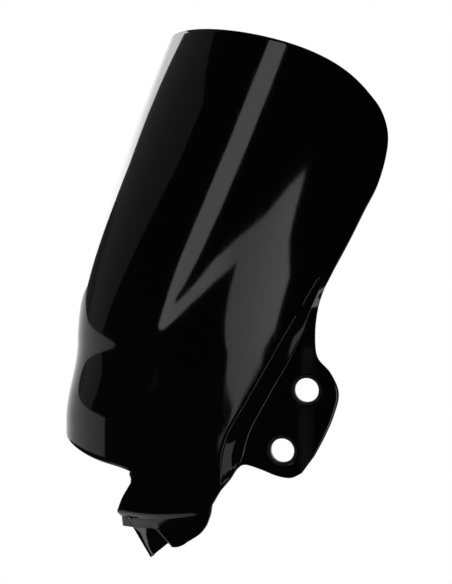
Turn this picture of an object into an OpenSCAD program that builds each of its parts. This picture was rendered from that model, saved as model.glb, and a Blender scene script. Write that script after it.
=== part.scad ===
// Motorcycle windshield screen: one moulded sheet with stepped side ears and
// forked feet, and a rubber grommet in each of its four ear holes.
// Units are millimetres. The screen faces -Y, +Z is up, X = 0 is its mirror plane.
// The frame's origin is the middle of the screen's overall box.

/* [Sheet] */
// Thickness of the sheet
sheet_t = 4; // [3:0.5:5]
// Half width of the section's ellipse
half_w = 165; // [150:1:180]
// Front to back half axis of the section's ellipse
half_d = 250; // [230:1:270]
// Height of the middle of the top edge above the waist
top_h = 245.5; // [222:0.5:267]
// Rake that the upper part bends towards, as rearward travel for each mm of height
rake_top = 0.5; // [0.4:0.01:0.6]
// How far the chin stands out in front of the waist
flare = 9.2; // [4:0.2:12]

/* [Ears] */
// Inward step from the main panel to the ear
ear_step = 8; // [5:0.5:10]
// Width of the sloping wall of the step
step_w = 13; // [10:0.5:16]
// Diameter of the opening left by each grommet
bore_d = 17; // [15:0.5:19]
// Wall of the grommet's neck
neck_t = 1.3; // [1:0.1:1.8]
// How far the grommet's lips stand out past its neck
lip_w = 1; // [0.8:0.1:1.6]
// Thickness of each lip
lip_t = 1; // [0.8:0.1:1.5]

/* [Feet] */
// Inward step above each foot
foot_step = 9; // [6:0.5:11]
// Thickness of the plates of the inner foot tab
tab_t = 3.5; // [3:0.5:4.5]
// Width of the flange of the inner foot tab
tab_w = 18; // [14:1:22]
// Diameter of the screw hole in the inner foot tab
tab_hole_d = 8; // [5:0.5:9]

/* [Hidden] */
$fn = 48;
// Frame shifts that put the origin in the middle of the overall box
frame_y = 11.08;
frame_z = -4.15;
// Waist: the height where the front is upright, and how far forward it is
waist_z = -40;
waist_y = -120.9;
// How gradually the rake grows, the height over which the chin flares, and how fast
// the flare fades towards the sides
rake_h = 156;
flare_h = 62;
flare_fade = 1.8;
// Height of the middle of the bottom edge, and outer face of the inner foot tabs
chin_z = -114.8;
tab_x = 92;
// Flange of the inner foot tab: lean from upright, its direction and normal, and its ends
tab_tilt = 30;
flange_dir = [sin(tab_tilt), cos(tab_tilt)];
flange_n = [cos(tab_tilt), -sin(tab_tilt)];
flange_low = [59, -197.2];
flange_high = flange_low + 23.3 * flange_dir;
tab_root = [78, -165];
// Grid: body rows, columns from middle to side edge, first column of a foot leg
IB = 26;
JB = 15;
JN = 10;
JA = 12;
// Extra rows for the leg, the step above the foot and the outer tongue
IC = 30;
IS = 32;
IT = 35;
// First row on the step line, and number of ear columns
I1 = 13;
KE = 7;
JT = JB + KE;

// Side-view outlines, each point as [y, z] from top to bottom.
side_edge = [[92.3, 141.4], [102.2, 127.2], [107, 110.8], [105.6, 94], [99.5, 73.4],
             [90.6, 55.9], [80.1, 34.8], [69, 14.2]];
step_line = [[58.7, 8.8], [42.9, -18.6], [26.1, -48.1], [9.3, -77.8], [-3, -99.5],
             [-8, -115.2]];
leg_back = [[-8.3, -140.1], [-11, -144.7], [-13.2, -148.7], [-14.8, -151.7],
            [-15.3, -154.6], [-15.6, -156.6], [-16, -158.6], [-18.5, -165.5], [-24, -172.9],
            [-33.2, -179.3]];
leg_front = [[-73.8, -140.2], [-77, -145.8], [-80.6, -152.5], [-84.2, -162.3], [-86, -168.2],
             [-86.4, -175.2]];
tongue_front = [[-57.9, -173.6], [-51.7, -178.7], [-45.1, -184.6]];
ear_edge = [[66.6, 9.8], [62.1, 1], [58, -11.7], [56, -28.4], [57.5, -45.3], [66.8, -56.5],
            [72.7, -70.7], [69.3, -86.3], [63, -101.1], [55.6, -114.9]];
ear_bottom = [[-8.3, -140.1], [-3.4, -133], [0.6, -126], [6.2, -122.6], [17.1, -125.3],
              [29, -129.6], [39, -130.7], [46.7, -127]];
// Ear hole centres
hole_upper = [50.1, -68.8];
hole_lower = [33, -111.4];

function clamp01(t) = min(1, max(0, t));
function ease(t) = let(c = clamp01(t)) c * c * (3 - 2 * c);

// Front line of the screen in its mirror plane, and the section's half axis at height z.
function chin_out(z) = flare * ease((waist_z - z) / flare_h);
function front_y(z) =
    let(t = z - waist_z)
    waist_y + (t > 0 ? rake_top * t * t / (t + rake_h) : 0) - chin_out(z);
function depth(z) = half_d + flare_fade * chin_out(z);

// Point and outward normal of the outer surface at section angle a and height z.
function skin(a, z) = [half_w * sin(a), front_y(z) + depth(z) * (1 - cos(a)), z];
function unit(v) = v / norm(v);
function out(a, z) =
    let(lean = skin(a, z + 0.5)[1] - skin(a, z - 0.5)[1])
    unit([depth(z) * sin(a), -half_w * cos(a), half_w * cos(a) * lean]);

// Section angle of the surface point seen at [y, z] from the side.
function angle_at(q) = acos(max(0, min(1, 1 - (q[0] - front_y(q[1])) / depth(q[1]))));

// Smooth curve through the points of a path; t runs from 0 to 1.
function pick(p, i) = p[max(0, min(len(p) - 1, i))];
function along(p, t) =
    let(s = clamp01(t) * (len(p) - 1), i = min(floor(s), len(p) - 2), f = s - i,
        a = pick(p, i - 1), b = pick(p, i), c = pick(p, i + 1), d = pick(p, i + 2))
    b + f * ((c - a) / 2 + f * ((2 * a - 5 * b + 4 * c - d) / 2 + f * (3 * b - a - 3 * c + d) / 2));

// Outer edge of the body and leg on row i, and front edge of the leg below the chin.
function edge(i) =
    i < I1 ? along(side_edge, i / (I1 - 1)) :
    i < IB ? along(step_line, (i - I1) / (IB - 1 - I1)) :
    leg_back[i - IB];
function front(i) = i <= IS ? leg_front[i - IB - 1] : tongue_front[i - IS - 1];

// Heights along a row: arched near the top, easing down to the rounded chin corner below.
function arch(u) = 0.8 * pow(u, 2.3) + 0.2 * pow(u, 10);
function chin(u) =
    let(n = JN / JB)
    0.59 * ease(u / n) + 0.11 * pow(clamp01(5 * u / n - 4), 3) + 0.3 * clamp01((u - n) / (1 - n));
function row_drop(i, u) = let(q = i / IB) (1 - q) * arch(u) + q * chin(u);

// [angle, height] of grid point (i, j) on the body and leg.
function body_at(i, j) =
    i <= IB ?
        let(u = j / JB, e = edge(i), top = waist_z + top_h, zc = top + (chin_z - top) * i / IB)
        [angle_at(e) * u, zc + (e[1] - zc) * row_drop(i, u)] :
        let(first = i <= IS ? JN : JA, u = (j - first) / (JB - first), e = edge(i), f = front(i))
        [angle_at(f) + (angle_at(e) - angle_at(f)) * u, f[1] + (e[1] - f[1]) * pow(u, 2.2)];

// The ear's row from the step line back to its outer edge: far end, and width of the step's wall.
wall_w = step_w * 1.08;
function ear_end(i) = i == IB ? ear_bottom[KE] : along(ear_edge, (i - I1) / (IB - 1 - I1));
function wall(i) = min(wall_w, norm(ear_end(i) - edge(i)) * 0.6);

// Side-view point of grid column JB + k on the ear, and its inward offset.
function ear_col(i, k) =
    let(e = edge(i), q = ear_end(i), len_row = norm(q - e),
        s = k == 1 ? wall(i) * 0.46 : wall(i) + (len_row - wall(i)) * (k - 2) / (KE - 2))
    i == IB ? ear_bottom[k] : e + (q - e) * s / len_row;
function ear_in(i, k) = ear_step * wall(i) / wall_w * (k == 1 ? 0.62 : 1);

// Inward offset at section angle a below the crease above the foot: most of it on the
// first row, full in front and none at the back.
foot_front = angle_at(leg_front[IC - IB - 1]);
foot_back = angle_at(leg_back[IC - IB]);
function foot_in(i, a) =
    i <= IC ? 0 :
        foot_step * (i == IC + 1 ? 0.85 : 1) * clamp01((foot_back - a) / (foot_back - foot_front) * 1.1);

// Outer (side 0) and inner (side 1) surface points of the grid.
function grid_point(i, jj, side) =
    let(j = abs(jj), s = jj < 0 ? -1 : 1,
        q = j > JB ? ear_col(i, j - JB) : [0, 0],
        at = j > JB ? [angle_at(q), q[1]] : body_at(i, j),
        inward = (j > JB ? ear_in(i, j - JB) : foot_in(i, at[0])) + side * sheet_t,
        p = skin(at[0], at[1]) - out(at[0], at[1]) * inward)
    [s * p[0], p[1] + frame_y, p[2] + frame_z];

// Which grid cells exist: the cell (i, j) lies between rows i, i+1 and columns j, j+1.
function cell(i, jj) =
    let(j = jj < 0 ? -jj - 1 : jj)
    i < 0 || i >= IT || j >= JT ? false :
    j >= JB ? i >= I1 - 1 && i < IB :
    i < IB ? true :
    i < IS ? j >= JN :
    j >= JA;

// Point numbers. The ear's first row runs together in the end of the side edge.
width = 2 * JT + 1;
function num(i, jj, side) =
    let(j = i == I1 - 1 && abs(jj) > JB ? sign(jj) * JB : jj)
    side * (IT + 1) * width + i * width + j + JT;
function used(i, j) = cell(i, j) || cell(i - 1, j) || cell(i, j - 1) || cell(i - 1, j - 1);
function tri(a, b, c) = a == b || b == c || a == c ? [] : [[a, b, c]];
function quad(a, b, c, d) = concat(tri(a, b, c), tri(a, c, d));

module shell() {
    pts = [for (side = [0, 1], i = [0:IT], j = [-JT:JT])
        used(i, j) && !(i == I1 - 1 && abs(j) > JB) ? grid_point(i, j, side) : [0, 0, 0]];
    faces = [for (i = [0:IT - 1], j = [-JT:JT - 1]) if (cell(i, j)) each concat(
        quad(num(i, j, 0), num(i, j + 1, 0), num(i + 1, j + 1, 0), num(i + 1, j, 0)),
        quad(num(i, j, 1), num(i + 1, j, 1), num(i + 1, j + 1, 1), num(i, j + 1, 1)),
        cell(i - 1, j) ? [] : quad(num(i, j, 0), num(i, j, 1), num(i, j + 1, 1), num(i, j + 1, 0)),
        cell(i + 1, j) ? [] :
            quad(num(i + 1, j + 1, 0), num(i + 1, j + 1, 1), num(i + 1, j, 1), num(i + 1, j, 0)),
        cell(i, j - 1) ? [] : quad(num(i + 1, j, 0), num(i + 1, j, 1), num(i, j, 1), num(i, j, 0)),
        cell(i, j + 1) ? [] :
            quad(num(i, j + 1, 0), num(i, j + 1, 1), num(i + 1, j + 1, 1), num(i + 1, j + 1, 0)))];
    polyhedron(pts, faces, convexity = 8);
}

// Puts children with their z axis along v at point p.
module aim(p, v) {
    translate(p)
        rotate([0, acos(v[2]), atan2(v[1], v[0])])
            children();
}

function hole_at(q) = skin(angle_at(q), q[1]) - out(angle_at(q), q[1]) * (ear_step + sheet_t / 2)
    + [0, frame_y, frame_z];
function hole_dir(q) = out(angle_at(q), q[1]);

module ear_cut(q) {
    aim(hole_at(q), hole_dir(q))
        cylinder(h = sheet_t + 8, d = bore_d + 2 * neck_t, center = true);
}

// Inner foot tab: a web along the leg and a tilted flange across it, with a screw hole.
// Both are drawn from the side, as [distance forward of the X-Z plane, z], and extruded inwards.
module side_plate(w, outline) {
    translate([tab_x, frame_y, frame_z])
        rotate([90, 0, -90])
            linear_extrude(w)
                polygon(outline);
}

module foot_tab() {
    difference() {
        union() {
            side_plate(tab_t, [tab_root, [53.2, tab_root[1]], [45.8, -186.7], flange_low, flange_high]);
            side_plate(tab_w, [tab_root, tab_root - [4, 0], flange_high - flange_n * tab_t,
                               flange_low - flange_n * tab_t, flange_low, flange_high]);
        }
        tab_cut();
    }
}

function tab_hole_at() =
    let(q = (flange_low + flange_high - flange_n * tab_t) / 2)
    [tab_x - tab_w / 2 - 1, frame_y - q[0], frame_z + q[1]];

module tab_cut() {
    translate(tab_hole_at())
        rotate([90 + tab_tilt, 0, 0])
            cylinder(h = 24, d = tab_hole_d, center = true);
}

module both() {
    children();
    mirror([1, 0, 0])
        children();
}

module grommet(q) {
    r = bore_d / 2;
    neck = r + neck_t;
    lip = neck + lip_w;
    h = sheet_t / 2;
    aim(hole_at(q), hole_dir(q))
        rotate_extrude()
            polygon([[r, -h - lip_t], [lip, -h - lip_t], [lip, -h], [neck, -h], [neck, h],
                     [lip, h], [lip, h + lip_t], [r, h + lip_t]]);
}

module screen_sheet() {
    color([0.02, 0.02, 0.02])
        difference() {
            union() {
                shell();
                both()
                    foot_tab();
            }
            both() {
                ear_cut(hole_upper);
                ear_cut(hole_lower);
            }
        }
}

module grommet_left_upper() {
    color([0.06, 0.06, 0.06])
        grommet(hole_upper);
}

module grommet_left_lower() {
    color([0.06, 0.06, 0.06])
        grommet(hole_lower);
}

module grommet_right_upper() {
    color([0.06, 0.06, 0.06])
        mirror([1, 0, 0])
            grommet(hole_upper);
}

module grommet_right_lower() {
    color([0.06, 0.06, 0.06])
        mirror([1, 0, 0])
            grommet(hole_lower);
}

screen_sheet();
grommet_left_upper();
grommet_left_lower();
grommet_right_upper();
grommet_right_lower();
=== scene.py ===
"""Looks for the motorcycle windshield screen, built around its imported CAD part."""
import math

import bmesh
import bpy
import numpy as np
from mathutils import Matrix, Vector
from mathutils.geometry import delaunay_2d_cdt


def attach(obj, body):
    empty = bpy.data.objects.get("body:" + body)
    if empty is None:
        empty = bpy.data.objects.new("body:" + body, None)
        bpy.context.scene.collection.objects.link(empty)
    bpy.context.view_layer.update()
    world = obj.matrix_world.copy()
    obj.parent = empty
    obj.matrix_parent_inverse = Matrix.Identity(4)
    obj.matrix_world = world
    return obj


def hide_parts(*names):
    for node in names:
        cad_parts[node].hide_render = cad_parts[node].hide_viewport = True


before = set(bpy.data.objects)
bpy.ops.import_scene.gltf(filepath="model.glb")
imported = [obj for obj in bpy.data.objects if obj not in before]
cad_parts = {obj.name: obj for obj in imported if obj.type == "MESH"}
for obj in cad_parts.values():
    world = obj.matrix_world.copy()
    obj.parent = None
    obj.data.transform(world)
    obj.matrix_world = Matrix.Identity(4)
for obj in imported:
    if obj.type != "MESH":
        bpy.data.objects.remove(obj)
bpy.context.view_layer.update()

# ---------------------------------------------------------------- the sheet's shape, in mm
# The CAD's dimensions, and the looks' own rounding of the rim (RIM_R)
SHEET_T = 4.0
HALF_W, HALF_D = 165.0, 250.0
TOP_H, RAKE_TOP, FLARE, FLARE_FADE = 245.5, 0.5, 9.2, 1.8
EAR_STEP, STEP_W, BORE_D = 8.0, 13.0, 17.0
NECK_T, LIP_W, LIP_T = 1.3, 1.0, 1.0
FOOT_STEP, TAB_T, TAB_W, TAB_HOLE_D = 9.0, 3.5, 18.0, 8.0
FRAME_Y, FRAME_Z = 11.08, -4.15
WAIST_Z, WAIST_Y, RAKE_H, FLARE_H, CHIN_Z = -40.0, -120.9, 156.0, 62.0, -114.8
IB, JB, JN, JA, IC, IS, IT, I1, KE = 26, 15, 10, 12, 30, 32, 35, 13, 7
TAB_X, TAB_TILT, TAB_LEN = 92.0, 30.0, 23.3
RIM_R = 0.9

# Side-view outlines, each point as (y, z): the same lists as the CAD's.
SIDE_EDGE = [(92.3, 141.4), (102.2, 127.2), (107, 110.8), (105.6, 94), (99.5, 73.4), (90.6, 55.9),
             (80.1, 34.8), (69, 14.2)]
STEP_LINE = [(58.7, 8.8), (42.9, -18.6), (26.1, -48.1), (9.3, -77.8), (-3, -99.5), (-8, -115.2)]
LEG_BACK = [(-8.3, -140.1), (-11, -144.7), (-13.2, -148.7), (-14.8, -151.7), (-15.3, -154.6),
            (-15.6, -156.6), (-16, -158.6), (-18.5, -165.5), (-24, -172.9), (-33.2, -179.3)]
LEG_FRONT = [(-73.8, -140.2), (-77, -145.8), (-80.6, -152.5), (-84.2, -162.3), (-86, -168.2),
             (-86.4, -175.2)]
TONGUE_FRONT = [(-57.9, -173.6), (-51.7, -178.7), (-45.1, -184.6)]
EAR_EDGE = [(66.6, 9.8), (62.1, 1), (58, -11.7), (56, -28.4), (57.5, -45.3), (66.8, -56.5),
            (72.7, -70.7), (69.3, -86.3), (63, -101.1), (55.6, -114.9)]
EAR_BOTTOM = [(-8.3, -140.1), (-3.4, -133), (0.6, -126), (6.2, -122.6), (17.1, -125.3),
              (29, -129.6), (39, -130.7), (46.7, -127)]
HOLES = {"upper": (50.1, -68.8), "lower": (33, -111.4)}


def clamp01(t):
    return min(1.0, max(0.0, t))


def ease(t):
    c = clamp01(t)
    return c * c * (3 - 2 * c)


def chin_out(z):
    return FLARE * ease((WAIST_Z - z) / FLARE_H)


def front_y(z):
    t = z - WAIST_Z
    return WAIST_Y + (RAKE_TOP * t * t / (t + RAKE_H) if t > 0 else 0) - chin_out(z)


def depth(z):
    """Front to back half axis of the section at height z."""
    return HALF_D + FLARE_FADE * chin_out(z)


def skin(a, z, inward=0.0):
    """Point and outward normal of the sheet at section angle a and height z."""
    side_y = lambda h: front_y(h) + depth(h) * (1 - math.cos(a))
    lean = side_y(z + 0.5) - side_y(z - 0.5)
    n = np.array([depth(z) * math.sin(a), -HALF_W * math.cos(a), HALF_W * math.cos(a) * lean])
    n /= np.linalg.norm(n)
    return np.array([HALF_W * math.sin(a), side_y(z), z]) - n * inward, n


def angle_at(q):
    return math.acos(max(0.0, min(1.0, 1 - (q[0] - front_y(q[1])) / depth(q[1]))))


def along(path, t):
    """Smooth curve through the points of a path; t runs from 0 to 1."""
    p = np.array(path, float)
    s = clamp01(t) * (len(p) - 1)
    i = min(int(s), len(p) - 2)
    f = s - i
    a, b, c, d = (p[max(0, min(len(p) - 1, k))] for k in (i - 1, i, i + 1, i + 2))
    return b + f * ((c - a) / 2 + f * ((2 * a - 5 * b + 4 * c - d) / 2
                                       + f * (3 * b - a - 3 * c + d) / 2))


def mix(a, b, t):
    return np.asarray(a, float) * (1 - t) + np.asarray(b, float) * t


def edge(i):
    """Outer edge of the body and leg on row i."""
    if i <= I1 - 1:
        return along(SIDE_EDGE, i / (I1 - 1))
    if i < I1:
        return mix(SIDE_EDGE[-1], STEP_LINE[0], i - I1 + 1)
    if i <= IB - 1:
        return along(STEP_LINE, (i - I1) / (IB - 1 - I1))
    if i < IB:
        return mix(STEP_LINE[-1], LEG_BACK[0], i - IB + 1)
    return along(LEG_BACK, (i - IB) / (IT - IB))


def chin(u):
    n = JN / JB
    return 0.59 * ease(u / n) + 0.11 * clamp01(5 * u / n - 4) ** 3 + 0.3 * clamp01((u - n) / (1 - n))


def body_row(i, j):
    u, e, q = j / JB, edge(i), i / IB
    top = WAIST_Z + TOP_H
    zc = top + (CHIN_Z - top) * q
    drop = (1 - q) * (0.8 * u ** 2.3 + 0.2 * u ** 10) + q * chin(u)
    return np.array([angle_at(e) * u, zc + (e[1] - zc) * drop])


def leg_row(i, j, f, first):
    u, e = (j - first) / (JB - first), edge(i)
    return np.array([angle_at(f) + (angle_at(e) - angle_at(f)) * u,
                     f[1] + (e[1] - f[1]) * max(0.0, u) ** 2.2])


def body_at(i, j):
    """(angle, height) of a point on the body and leg."""
    if i <= IB:
        return body_row(i, j)
    upper = lambda r: leg_row(r, j, along(LEG_FRONT, (r - IB - 1) / (IS - IB - 1)), JN)
    lower = lambda r: leg_row(r, j, along(TONGUE_FRONT, (r - IS - 1) / (IT - IS - 1)), JA)
    if i < IB + 1:
        return mix(body_row(IB, j), upper(IB + 1), i - IB)
    if i <= IS:
        return upper(i)
    if i < IS + 1:
        return mix(upper(IS), lower(IS + 1), i - IS)
    return lower(i)


WALL_W = STEP_W * 1.08


def ear_end(i):
    return along(EAR_EDGE, (i - I1) / (IB - 1 - I1))


def wall(i):
    """Width of the step's sloping wall on row i."""
    return min(WALL_W, 0.6 * np.linalg.norm(ear_end(i) - edge(i))) if i <= IB - 1 else WALL_W


def ear_row(i, k):
    e, q, w = edge(i), ear_end(i), wall(i)
    length = np.linalg.norm(q - e)
    s = w * 0.46 * k if k < 1 else w * (0.46 + 0.54 * (k - 1)) if k < 2 \
        else w + (length - w) * (k - 2) / (KE - 2)
    return e + (q - e) * s / length


def ear_col(i, k):
    """Side-view point of a column on the ear."""
    if i < I1:
        return mix(SIDE_EDGE[-1], ear_row(I1, k), i - I1 + 1)
    if i <= IB - 1:
        return ear_row(i, k)
    return mix(ear_row(IB - 1, k), along(EAR_BOTTOM, k / KE), i - IB + 1)


def blended(points, s, w):
    """Straight-line graph through the points, averaged over s - w to s + w."""
    def area(x):
        total = 0.0
        (x0, y0) = points[0]
        if x <= x0:
            return y0 * (x - x0)
        for (x1, y1) in points[1:]:
            top = min(x, x1)
            total += (top - x0) * (y0 + (y0 + (y1 - y0) * (top - x0) / (x1 - x0))) / 2
            if x <= x1:
                return total
            x0, y0 = x1, y1
        return total + (x - x0) * y0
    return (area(s + w) - area(s - w)) / (2 * w)


def ear_in(i, j):
    """Inward step of the ear; just in front of the step line it is the crease's rounding."""
    k = j - JB if j >= JB else (j - JB) * 2.2
    if i <= I1 - 1 or i > IB or k < -0.5:
        return 0.0
    full = EAR_STEP * wall(max(i, I1)) / WALL_W * clamp01(i - I1 + 1)
    return full * blended([(0, 0), (1, 0.62), (2, 1)], k, 0.14)


FOOT_FRONT, FOOT_BACK = angle_at(LEG_FRONT[IC - IB - 1]), angle_at(LEG_BACK[IC - IB])


def foot_in(i, a):
    """Inward step below the crease above the foot: full in front, none at the back."""
    share = clamp01((FOOT_BACK - a) / (FOOT_BACK - FOOT_FRONT) * 1.1)
    return FOOT_STEP * share * blended([(IC, 0), (IC + 1, 0.85), (IS, 1)], i, 0.12) if i > IC - 0.2 else 0.0


def exists(i, j):
    """Whether the sheet has the unit cell that starts at row i, column j."""
    if i < 0 or i >= IT or j < 0 or j >= JB + KE:
        return False
    if j >= JB:
        return I1 - 1 <= i < IB
    return i < IB or (j >= JN if i < IS else j >= JA)


def sheet_face():
    """Outer face of one half: points, normals and quads; the ear's two holes are cut later."""
    def spread(lo, hi, step):
        return [lo + k * step for k in range(int(round((hi - lo) / step)))]
    rows = spread(0, IC - 0.25, 0.25) + [IC - 0.25, IC - 0.15, IC - 0.07, IC, IC + 0.07, IC + 0.15,
            IC + 0.4, IC + 0.65, IC + 0.85, IC + 0.93, IS, IS + 0.07, IS + 0.15] \
        + spread(IS + 0.25, IT, 0.25) + [IT]
    cols = spread(0, JB - 0.25, 0.25) + [JB - 0.25, JB - 0.15, JB - 0.09, JB - 0.04, JB, JB + 0.1,
            JB + 0.25, JB + 0.5, JB + 0.75, JB + 0.9, JB + 1, JB + 1.1, JB + 1.3, JB + 1.6,
            JB + 1.8, JB + 1.9, JB + 2, JB + 2.08, JB + 2.18] + spread(JB + 2.4, JB + KE, 0.2) \
        + [JB + KE]
    points, normals, number, quads = [], [], {}, []

    def vertex(r, c):
        i, j = rows[r], cols[c]
        if j > JB and i <= I1 - 1:
            return vertex(r, cols.index(JB))
        if (r, c) not in number:
            if j > JB:
                q = ear_col(i, j - JB)
                a, z = angle_at(q), q[1]
            else:
                a, z = body_at(i, j)
            p, n = skin(a, z, ear_in(i, j) + foot_in(i, a))
            number[r, c] = len(points)
            points.append(p)
            normals.append(n)
        return number[r, c]

    for r in range(len(rows) - 1):
        for c in range(len(cols) - 1):
            if exists(math.floor(rows[r] + 1e-6), math.floor(cols[c] + 1e-6)):
                ring = [vertex(r, c), vertex(r + 1, c), vertex(r + 1, c + 1), vertex(r, c + 1)]
                ring = [v for k, v in enumerate(ring) if v != ring[k - 1]]
                quads.append(ring)
    return np.array(points), np.array(normals), quads, \
        {number[r, c] for (r, c) in number if c == 0}


def unit(v):
    return v / np.linalg.norm(v)


def cut_hole(points, normals, faces, q, radius, count=72):
    """Opens a round hole in the outer face at side-view point q. points and normals are lists."""
    middle, axis = skin(angle_at(q), q[1], EAR_STEP)
    ax = unit(np.cross((0, 0, 1), axis))
    ay = np.cross(axis, ax)

    def flat(p):
        return np.array([(p - middle) @ ax, (p - middle) @ ay])

    near = [np.linalg.norm(p - middle) < radius + 1.3 for p in points]
    gone = [f for f in faces if any(near[v] for v in f)]
    kept = [f for f in faces if not any(near[v] for v in f)]
    inner = {(f[k - 1], f[k]) for f in gone for k in range(len(f))}
    follow = {u: v for (u, v) in inner if (v, u) not in inner}
    ring = [next(iter(sorted(follow)))]
    while follow[ring[-1]] != ring[0]:
        ring.append(follow[ring[-1]])
    first = len(points)
    for k in range(count):
        turn = 2 * math.pi * k / count
        goal = radius * np.array([math.cos(turn), math.sin(turn)])
        s = np.array([angle_at(q), q[1]])
        for _ in range(8):
            miss = flat(skin(*s, EAR_STEP)[0]) - goal
            da = (flat(skin(s[0] + 1e-4, s[1], EAR_STEP)[0]) - goal - miss) / 1e-4
            dz = (flat(skin(s[0], s[1] + 1e-2, EAR_STEP)[0]) - goal - miss) / 1e-2
            s = s - np.linalg.solve(np.stack([da, dz], 1), miss)
        p, n = skin(*s, EAR_STEP)
        points.append(p)
        normals.append(n)
    ids = ring + list(range(first, first + count))
    m = len(ring)
    edges = [(k, (k + 1) % m) for k in range(m)] \
        + [(m + k, m + (k + 1) % count) for k in range(count)]
    coords = [Vector(flat(points[v])) for v in ids]
    _, _, tris, origin, _, _ = delaunay_2d_cdt(coords, edges, [], 1, 1e-5)
    for t in tris:
        v = [ids[origin[k][0]] for k in t]
        xy = [flat(points[k]) for k in v]
        if np.linalg.norm(sum(xy) / 3) < radius * 0.999 and all(k >= first for k in v):
            continue
        (x0, y0), (x1, y1), (x2, y2) = xy
        turned = (x1 - x0) * (y2 - y0) - (x2 - x0) * (y1 - y0)
        kept.append(v if turned > 0 else v[::-1])
    return kept


def thick_sheet():
    """Closed mesh of the whole sheet: both halves, both faces and a rounded rim."""
    points, normals, faces, middle = sheet_face()
    points, normals = list(points), list(normals)
    for q in HOLES.values():
        faces = cut_hole(points, normals, faces, q, BORE_D / 2 + NECK_T)
    half = len(points)
    flip = np.array([-1.0, 1, 1])
    other = {}
    for v in range(half):
        if v in middle:
            points[v] = points[v] * (0, 1, 1)
            other[v] = v
        else:
            other[v] = len(points)
            points.append(points[v] * flip)
            normals.append(normals[v] * flip)
    faces = faces + [[other[v] for v in reversed(f)] for f in faces]
    points, normals = np.array(points), np.array(normals)
    count = len(points)
    inner = points - normals * SHEET_T

    borders = {(f[k - 1], f[k]) for f in faces for k in range(len(f))}
    follow = {u: v for (u, v) in borders if (v, u) not in borders}
    before = {v: u for (u, v) in follow.items()}
    verts = list(np.vstack([points, inner]))
    faces = [list(f) for f in faces] + [[v + count for v in reversed(f)] for f in faces]
    rim = {}
    for v in follow:
        n = normals[v]
        side = unit(np.cross(points[follow[v]] - points[before[v]], n))
        top, low = points[v] - (side + n) * RIM_R, inner[v] - (side - n) * RIM_R
        verts[v], verts[v + count] = top + n * RIM_R, low - n * RIM_R
        bends = [top + RIM_R * (n * math.cos(t) + side * math.sin(t))
                 for t in (math.pi / 6, math.pi / 3, math.pi / 2)]
        bends += [low + RIM_R * (side * math.cos(t) - n * math.sin(t))
                  for t in (0, math.pi / 6, math.pi / 3)]
        rim[v] = [v] + list(range(len(verts), len(verts) + len(bends))) + [v + count]
        verts += bends
    for u, v in follow.items():
        for k in range(len(rim[u]) - 1):
            faces.append([rim[v][k], rim[u][k], rim[u][k + 1], rim[v][k + 1]])
    return np.array(verts), faces


# ---------------------------------------------------------------- pieces
def make_object(name, verts, faces, scale=0.001, shift=(0, FRAME_Y, FRAME_Z)):
    """Object from points in mm, moved into the CAD frame."""
    mesh = bpy.data.meshes.new(name)
    mesh.from_pydata([[(a + d) * scale for a, d in zip(v, shift)] for v in verts], [], faces)
    mesh.validate()
    obj = bpy.data.objects.new(name, mesh)
    bpy.context.collection.objects.link(obj)
    return obj


def apply_modifiers(obj):
    bpy.context.view_layer.update()
    mesh = bpy.data.meshes.new_from_object(
        obj.evaluated_get(bpy.context.evaluated_depsgraph_get()))
    mesh.name = obj.name
    old = obj.data
    obj.modifiers.clear()
    obj.data = mesh
    bpy.data.meshes.remove(old)


def join_shape(obj, other, operation):
    step = obj.modifiers.new("shape", "BOOLEAN")
    step.operation, step.object, step.solver = operation, other, "EXACT"
    apply_modifiers(obj)
    bpy.data.objects.remove(other)


def smooth(obj, degrees):
    obj.data.polygons.foreach_set("use_smooth", [True] * len(obj.data.polygons))
    obj.data.set_sharp_from_angle(angle=math.radians(degrees))


def face_outwards(obj):
    bm = bmesh.new()
    bm.from_mesh(obj.data)
    bmesh.ops.recalc_face_normals(bm, faces=bm.faces)
    bm.to_mesh(obj.data)
    bm.free()


def mirror(obj):
    """Turns a piece of the left side into the same piece of the right side."""
    for v in obj.data.vertices:
        v.co.x = -v.co.x
    obj.data.flip_normals()


def prism(name, outline, x0, x1):
    """Prism between two values of x; the outline's points are (y, z)."""
    m = len(outline)
    verts = [(x, y, z) for x in (x0, x1) for (y, z) in outline]
    faces = [list(range(m))[::-1], list(range(m, 2 * m))] \
        + [[k, (k + 1) % m, (k + 1) % m + m, k + m] for k in range(m)]
    obj = make_object(name, verts, faces)
    face_outwards(obj)
    return obj


def foot_tab(side):
    """Inner tab of a foot: a web along the leg and a tilted flange with its screw hole."""
    tilt = math.radians(TAB_TILT)
    low = np.array([-59.0, -197.2])
    high = low + TAB_LEN * np.array([-math.sin(tilt), math.cos(tilt)])
    back = TAB_T * np.array([math.cos(tilt), math.sin(tilt)])
    root = np.array([-78.0, -165.0])
    web = prism("tab_" + side, [root, (-53.2, -165), (-45.8, -186.7), low, high],
                TAB_X, TAB_X - TAB_T)
    flange = prism("flange", [root, root + (4, 0), high + back, low + back, low, high],
                   TAB_X, TAB_X - TAB_W)
    join_shape(web, flange, "UNION")
    at = (low + high + back) / 2
    turn = [2 * math.pi * k / 40 for k in range(40)]
    axis = np.array([0, -math.cos(tilt), -math.sin(tilt)])
    across = np.array([0, -axis[2], axis[1]])
    ring = [np.array([TAB_X - TAB_W / 2 - 1, *at])
            + TAB_HOLE_D / 2 * (math.cos(t) * np.array([1, 0, 0]) + math.sin(t) * across)
            for t in turn]
    m = len(ring)
    drill = make_object("drill", [p - axis * 12 for p in ring] + [p + axis * 12 for p in ring],
                        [list(range(m)), list(range(m, 2 * m))[::-1]]
                        + [[k, k + m, (k + 1) % m + m, (k + 1) % m] for k in range(m)])
    face_outwards(drill)
    join_shape(web, drill, "DIFFERENCE")
    soft = web.modifiers.new("rounded", "BEVEL")
    soft.width, soft.segments, soft.limit_method = 0.0006, 3, "ANGLE"
    soft.angle_limit = math.radians(35)
    soft.use_clamp_overlap = True
    apply_modifiers(web)
    if side == "right":
        mirror(web)
    return web


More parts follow.
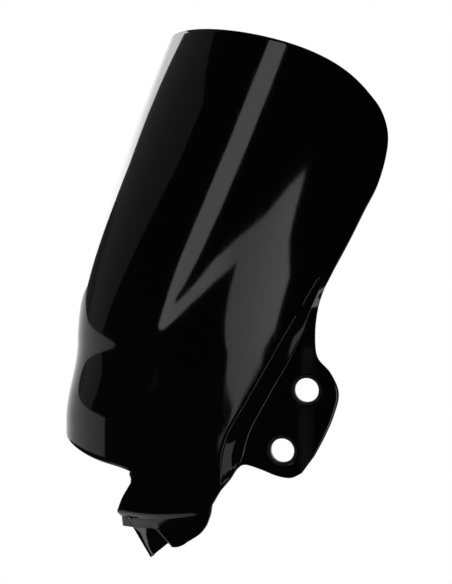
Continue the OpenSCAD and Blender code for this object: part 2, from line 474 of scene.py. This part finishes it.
def lathe(name, profile, count, middle, axis):
    """Ring turned about an axis; profile points are (radius, distance along the axis)."""
    ax = unit(np.cross((0, 0, 1), axis))
    ay = np.cross(axis, ax)
    m = len(profile)
    verts = [middle + r * (math.cos(2 * math.pi * k / count) * ax
                           + math.sin(2 * math.pi * k / count) * ay) + h * axis
             for k in range(count) for (r, h) in profile]
    faces = [[k * m + p, (k + 1) % count * m + p, (k + 1) % count * m + (p + 1) % m,
              k * m + (p + 1) % m] for k in range(count) for p in range(m)]
    return make_object(name, verts, faces)


def rounded_profile(corners, r, steps=3):
    """Closed outline with each outer corner rounded; corners are (x, y, radius or 0)."""
    out = []
    for k, (x, y, on) in enumerate(corners):
        p = np.array([x, y])
        if not on:
            out.append(p)
            continue
        a = unit(np.array(corners[k - 1][:2]) - p)
        b = unit(np.array(corners[(k + 1) % len(corners)][:2]) - p)
        for s in range(steps + 1):
            t = math.pi / 2 * s / steps
            out.append(p + r * (a + b) - r * (b * math.cos(t) + a * math.sin(t)))
    return out


def grommet(side, level):
    q = HOLES[level]
    middle, axis = skin(angle_at(q), q[1], EAR_STEP + SHEET_T / 2)
    r, neck, h = BORE_D / 2, BORE_D / 2 + NECK_T, SHEET_T / 2
    lip = neck + LIP_W
    corners = [(r, -h - LIP_T, 1), (lip, -h - LIP_T, 1), (lip, -h, 0), (neck, -h, 0),
               (neck, h, 0), (lip, h, 0), (lip, h + LIP_T, 1), (r, h + LIP_T, 1)]
    obj = lathe("rubber_grommet_%s_%s" % (side, level), rounded_profile(corners, 0.45), 64,
                middle, axis)
    face_outwards(obj)
    if side == "right":
        mirror(obj)
    smooth(obj, 40)
    return obj


# ---------------------------------------------------------------- materials
def nodes_of(name):
    mat = bpy.data.materials.new(name)
    mat.use_nodes = True
    tree = mat.node_tree
    return mat, tree, tree.nodes["Principled BSDF"]


def add(tree, kind, **values):
    node = tree.nodes.new(kind)
    for key, value in values.items():
        if key in node.inputs:
            node.inputs[key].default_value = value
        else:
            setattr(node, key, value)
    return node


def gloss_black():
    """Polished black moulded plastic: very slight flow ripple, fine wipe marks and dust."""
    mat, tree, shader = nodes_of("gloss_black")
    link = tree.links.new
    place = add(tree, "ShaderNodeTexCoord")
    shader.inputs["IOR"].default_value = 1.49
    dust = add(tree, "ShaderNodeTexNoise", Scale=900.0, Detail=2.0, Roughness=0.6)
    link(place.outputs["Object"], dust.inputs["Vector"])
    speck = add(tree, "ShaderNodeValToRGB")
    speck.color_ramp.elements[0].position, speck.color_ramp.elements[1].position = 0.66, 0.8
    speck.color_ramp.elements[0].color = (0.0042, 0.0042, 0.0044, 1)
    speck.color_ramp.elements[1].color = (0.012, 0.012, 0.012, 1)
    link(dust.outputs["Fac"], speck.inputs["Fac"])
    link(speck.outputs["Color"], shader.inputs["Base Color"])
    wipe_place = add(tree, "ShaderNodeMapping", Scale=(1.0, 6.0, 0.35))
    link(place.outputs["Object"], wipe_place.inputs["Vector"])
    wipe = add(tree, "ShaderNodeTexNoise", Scale=60.0, Detail=6.0, Roughness=0.7)
    link(wipe_place.outputs["Vector"], wipe.inputs["Vector"])
    rough = add(tree, "ShaderNodeMapRange")
    rough.inputs["From Min"].default_value, rough.inputs["From Max"].default_value = 0.3, 0.75
    rough.inputs["To Min"].default_value, rough.inputs["To Max"].default_value = 0.035, 0.075
    link(wipe.outputs["Fac"], rough.inputs["Value"])
    link(rough.outputs["Result"], shader.inputs["Roughness"])
    ripple = add(tree, "ShaderNodeTexNoise", Scale=14.0, Detail=1.0, Roughness=0.4)
    link(place.outputs["Object"], ripple.inputs["Vector"])
    bump = add(tree, "ShaderNodeBump", Strength=0.12, Distance=0.0006)
    link(ripple.outputs["Fac"], bump.inputs["Height"])
    link(bump.outputs["Normal"], shader.inputs["Normal"])
    return mat


def black_rubber():
    """Matt black rubber with a fine grain and a greyer bloom in places."""
    mat, tree, shader = nodes_of("black_rubber")
    link = tree.links.new
    place = add(tree, "ShaderNodeTexCoord")
    bloom = add(tree, "ShaderNodeTexNoise", Scale=160.0, Detail=4.0)
    link(place.outputs["Object"], bloom.inputs["Vector"])
    tone = add(tree, "ShaderNodeValToRGB")
    tone.color_ramp.elements[0].position, tone.color_ramp.elements[1].position = 0.35, 0.75
    tone.color_ramp.elements[0].color = (0.003, 0.003, 0.003, 1)
    tone.color_ramp.elements[1].color = (0.009, 0.009, 0.0095, 1)
    link(bloom.outputs["Fac"], tone.inputs["Fac"])
    link(tone.outputs["Color"], shader.inputs["Base Color"])
    shader.inputs["Roughness"].default_value = 0.5
    grain = add(tree, "ShaderNodeTexNoise", Scale=2600.0, Detail=3.0)
    link(place.outputs["Object"], grain.inputs["Vector"])
    bump = add(tree, "ShaderNodeBump", Strength=0.25, Distance=0.0001)
    link(grain.outputs["Fac"], bump.inputs["Height"])
    link(bump.outputs["Normal"], shader.inputs["Normal"])
    return mat


# ---------------------------------------------------------------- the screen
verts, faces = thick_sheet()
sheet = make_object("screen_sheet_looks", verts, faces)
for side in ("left", "right"):
    join_shape(sheet, foot_tab(side), "UNION")
smooth(sheet, 38)
sheet.data.materials.clear()
sheet.data.materials.append(gloss_black())
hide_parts("screen_sheet")
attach(sheet, "root")

rubber = black_rubber()
for side in ("left", "right"):
    for level in HOLES:
        ring = grommet(side, level)
        ring.data.materials.append(rubber)
        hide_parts("grommet_%s_%s" % (side, level))
        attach(ring, "root")

# ---------------------------------------------------------------- studio
ORIGIN = np.array([0, FRAME_Y, FRAME_Z]) / 1000
VIEW_AZ, VIEW_D, LENS = 88.2, 1.0, 75.18


def heading(az, el=0.0):
    a, e = math.radians(az), math.radians(el)
    return np.array([math.sin(a) * math.cos(e), -math.cos(a) * math.cos(e), math.sin(e)])


camera = bpy.data.objects.new("camera", bpy.data.cameras.new("camera"))
bpy.context.collection.objects.link(camera)
camera.location = ORIGIN + VIEW_D * heading(VIEW_AZ)
camera.rotation_euler = Vector(-heading(VIEW_AZ)).to_track_quat("-Z", "Y").to_euler()
camera.data.lens, camera.data.sensor_width = LENS, 36.0
camera.data.clip_start, camera.data.clip_end = 0.01, 50
bpy.context.scene.camera = camera


def glow(name, strength):
    mat = bpy.data.materials.new(name)
    mat.use_nodes = True
    tree = mat.node_tree
    tree.nodes.clear()
    out = tree.nodes.new("ShaderNodeOutputMaterial")
    light = tree.nodes.new("ShaderNodeEmission")
    light.inputs["Strength"].default_value = strength
    light.inputs["Color"].default_value = (1, 1, 1, 1)
    tree.links.new(light.outputs["Emission"], out.inputs["Surface"])
    return mat


def between(knots, x):
    """Value at x on the straight lines through (x, value) pairs."""
    return float(np.interp(x, [k[0] for k in knots], [k[1] for k in knots]))


def card(name, corners, strength, reach=30.0):
    """Glowing patch of a far sphere round the screen; corners are (azimuth, elevation).

    strength is a number, or a function of azimuth and elevation."""
    outline = [(a + (c - a) * k / 12, b + (d - b) * k / 12)
               for (a, b), (c, d) in zip(corners, corners[1:] + corners[:1]) for k in range(12)]
    m = len(outline)
    lo, hi = np.min(outline, axis=0), np.max(outline, axis=0)
    inside = [(a, b) for a in np.arange(lo[0] + 2, hi[0], 3) for b in np.arange(lo[1] + 2, hi[1], 3)]
    spots, _, faces, _, _, _ = delaunay_2d_cdt([Vector(p) for p in outline + inside],
                                               [(k, (k + 1) % m) for k in range(m)], [], 1, 1e-4)
    obj = make_object(name, [(ORIGIN + reach * heading(*p)) * 1000 for p in spots], faces,
                      shift=(0, 0, 0))
    mat = glow(name, 1.0 if callable(strength) else strength)
    if callable(strength):
        level = obj.data.attributes.new("level", "FLOAT", "POINT")
        level.data.foreach_set("value", [strength(*p) for p in spots])
        read = add(mat.node_tree, "ShaderNodeAttribute")
        read.attribute_name = "level"
        light = next(n for n in mat.node_tree.nodes if n.type == "EMISSION")
        mat.node_tree.links.new(read.outputs["Fac"], light.inputs["Strength"])
    obj.data.materials.append(mat)
    obj.visible_camera = obj.visible_diffuse = obj.visible_shadow = False
    return obj


world = bpy.data.worlds.new("room")
bpy.context.scene.world = world
world.use_nodes = True
world.node_tree.nodes["Background"].inputs["Color"].default_value = (1, 1, 1, 1)
world.node_tree.nodes["Background"].inputs["Strength"].default_value = 0.018
bpy.context.scene.view_settings.view_transform = "Standard"


def disc(name, radius, z, strength):
    ring = [(radius * math.cos(math.pi * k / 32), radius * math.sin(math.pi * k / 32), z)
            for k in range(64)]
    obj = make_object(name, ring, [list(range(64))], shift=(0, 0, 0))
    obj.data.materials.append(glow(name, strength))
    return obj


# Pale table under the screen, and the floor and surround that fill the view behind it
table = disc("table_top", 320, -330, 1.0)
floor = disc("floor", 4300, -331, 1.0)
walls = [(4200 * math.cos(t * math.pi / 24), 4200 * math.sin(t * math.pi / 24), z)
         for t in range(48) for z in (-400, 4000)]
surround = make_object("surround", walls, [[2 * k, (2 * k + 2) % 96, (2 * k + 3) % 96, 2 * k + 1]
                                           for k in range(48)], shift=(0, 0, 0))
surround.data.materials.append(glow("pale_surround", 1.0))
table.visible_glossy = False
for obj in (floor, surround):
    obj.visible_glossy = obj.visible_diffuse = obj.visible_shadow = False

# What the gloss reflects: a bright backdrop ahead, a dim wall, the pale floor in front, a
# bent strip light at the side, and small lights that catch the moulded steps. Many corners
# of strip and dim_wall are measured directions, worked out outside this file.
WALL_EDGE = [(-60, 5), (-55, 10.5), (-51.5, 14.5), (-49.5, 18.3), (-51.5, 20.5), (-52, 23),
             (-51, 24.7), (-48.4, 27.2), (-44, 31)]
HORIZON = [(-58, 4), (-44, 2), (-32, 1), (-21.5, 0), (-12, -1.2), (-6.8, -2.2)]
card("backdrop", [(-130, -2), (-130, 30), (-90, 34)] + WALL_EDGE[::-1] + [(-78, 0.5)],
     lambda az, el: between([(-130, 0.6), (-85, 0.8), (-74, 1.2), (-61, 2.0), (-50, 3.0)], az)
     * between([(16, 1.6), (21, 1.0)], el))
card("dim_wall", WALL_EDGE + [(-44, 40), (-10, 40), (-11.6, 34), (3.9, 30), (3.3, 25.4), (-3, 19.6),
                              (-12, 10.8), (-21.5, 1.4), (-21.5, 0)] + HORIZON[2::-1],
     lambda az, el: between([(-58, 0.17), (-46, 0.12)], az)
     * (between([(-46, 0.4), (-38, 1.0)], az) if el < 17 else 1.0))
card("pale_floor", [(-130, -32), (-60, -32), (-60, -9), (-7, -9)] + HORIZON[::-1]
     + [(-60, 5), (-78, 0.5), (-130, -2)],
     lambda az, el: between([(-80, 1.1), (-60, 0.75), (-45, 0.5), (-10, 0.42)], az))
card("under_light", [(-85, -30), (-60, -33), (-40, -40), (0, -48), (40, -50), (40, -70), (-85, -70)],
     0.5)
card("pale_table", [(-40, -40), (-40, -16), (10, -16), (10, -48), (0, -48)],
     lambda az, el: between([(2, 0.8), (10, 0)], az))
card("strip", [(28.4, 36), (28.2, 29.2), (27.8, 25.6), (25.9, 20.6), (22.6, 14.2), (20.1, 7.3),
               (18.4, 3), (18.9, 2.1), (20.8, 2.0), (23.9, 3.1), (31.6, 6.7), (39.8, 9.7),
               (45.8, 11.2), (46.6, 11.4), (46, 6.8), (46, 3), (46.6, -2), (47.9, -3.1),
               (51.2, -4.6), (49.9, -5.9), (46.8, -7.4), (47.8, -7.4), (53.5, -4.5), (58, -3.5),
               (62.1, 0.9), (64.2, 7.2), (61.7, 11.3), (61.2, 16.6), (60.6, 17.2), (57.2, 16.8),
               (51.8, 15.3), (45.1, 14.4), (37.9, 12.8), (30.4, 9.3), (26.2, 7.6), (24.6, 7.3),
               (25.2, 8.6), (27.5, 10.2), (31.2, 14.1), (34.9, 19.5), (36.9, 24.3), (37.6, 27.8),
               (37.4, 36)],
     lambda az, el: between([(20, 1.55), (28, 1.4), (38, 1.5), (46, 1.0), (52, 1.15), (63, 1.65)], az))
card("line_light", [(85.5, -28), (91.5, -28), (91.5, -3), (85.5, -3)], 2.6)
card("wedge_light", [(117, -27), (134, -27), (134, -8), (117, -8)], 0.8)
card("ear_streak", [(69, -9), (74.5, -9), (74, -2.5), (68.5, -2.5)],
     lambda az, el: between([(69.2, 0), (71.2, 0.15), (72.2, 0.15), (74.2, 0)], az))
card("rear_window", [(190, 6), (245, 6), (245, 42), (190, 42)], 1.0)
card("overhead", [(0, 66), (358, 66), (358, 82), (0, 82)], 0.9)
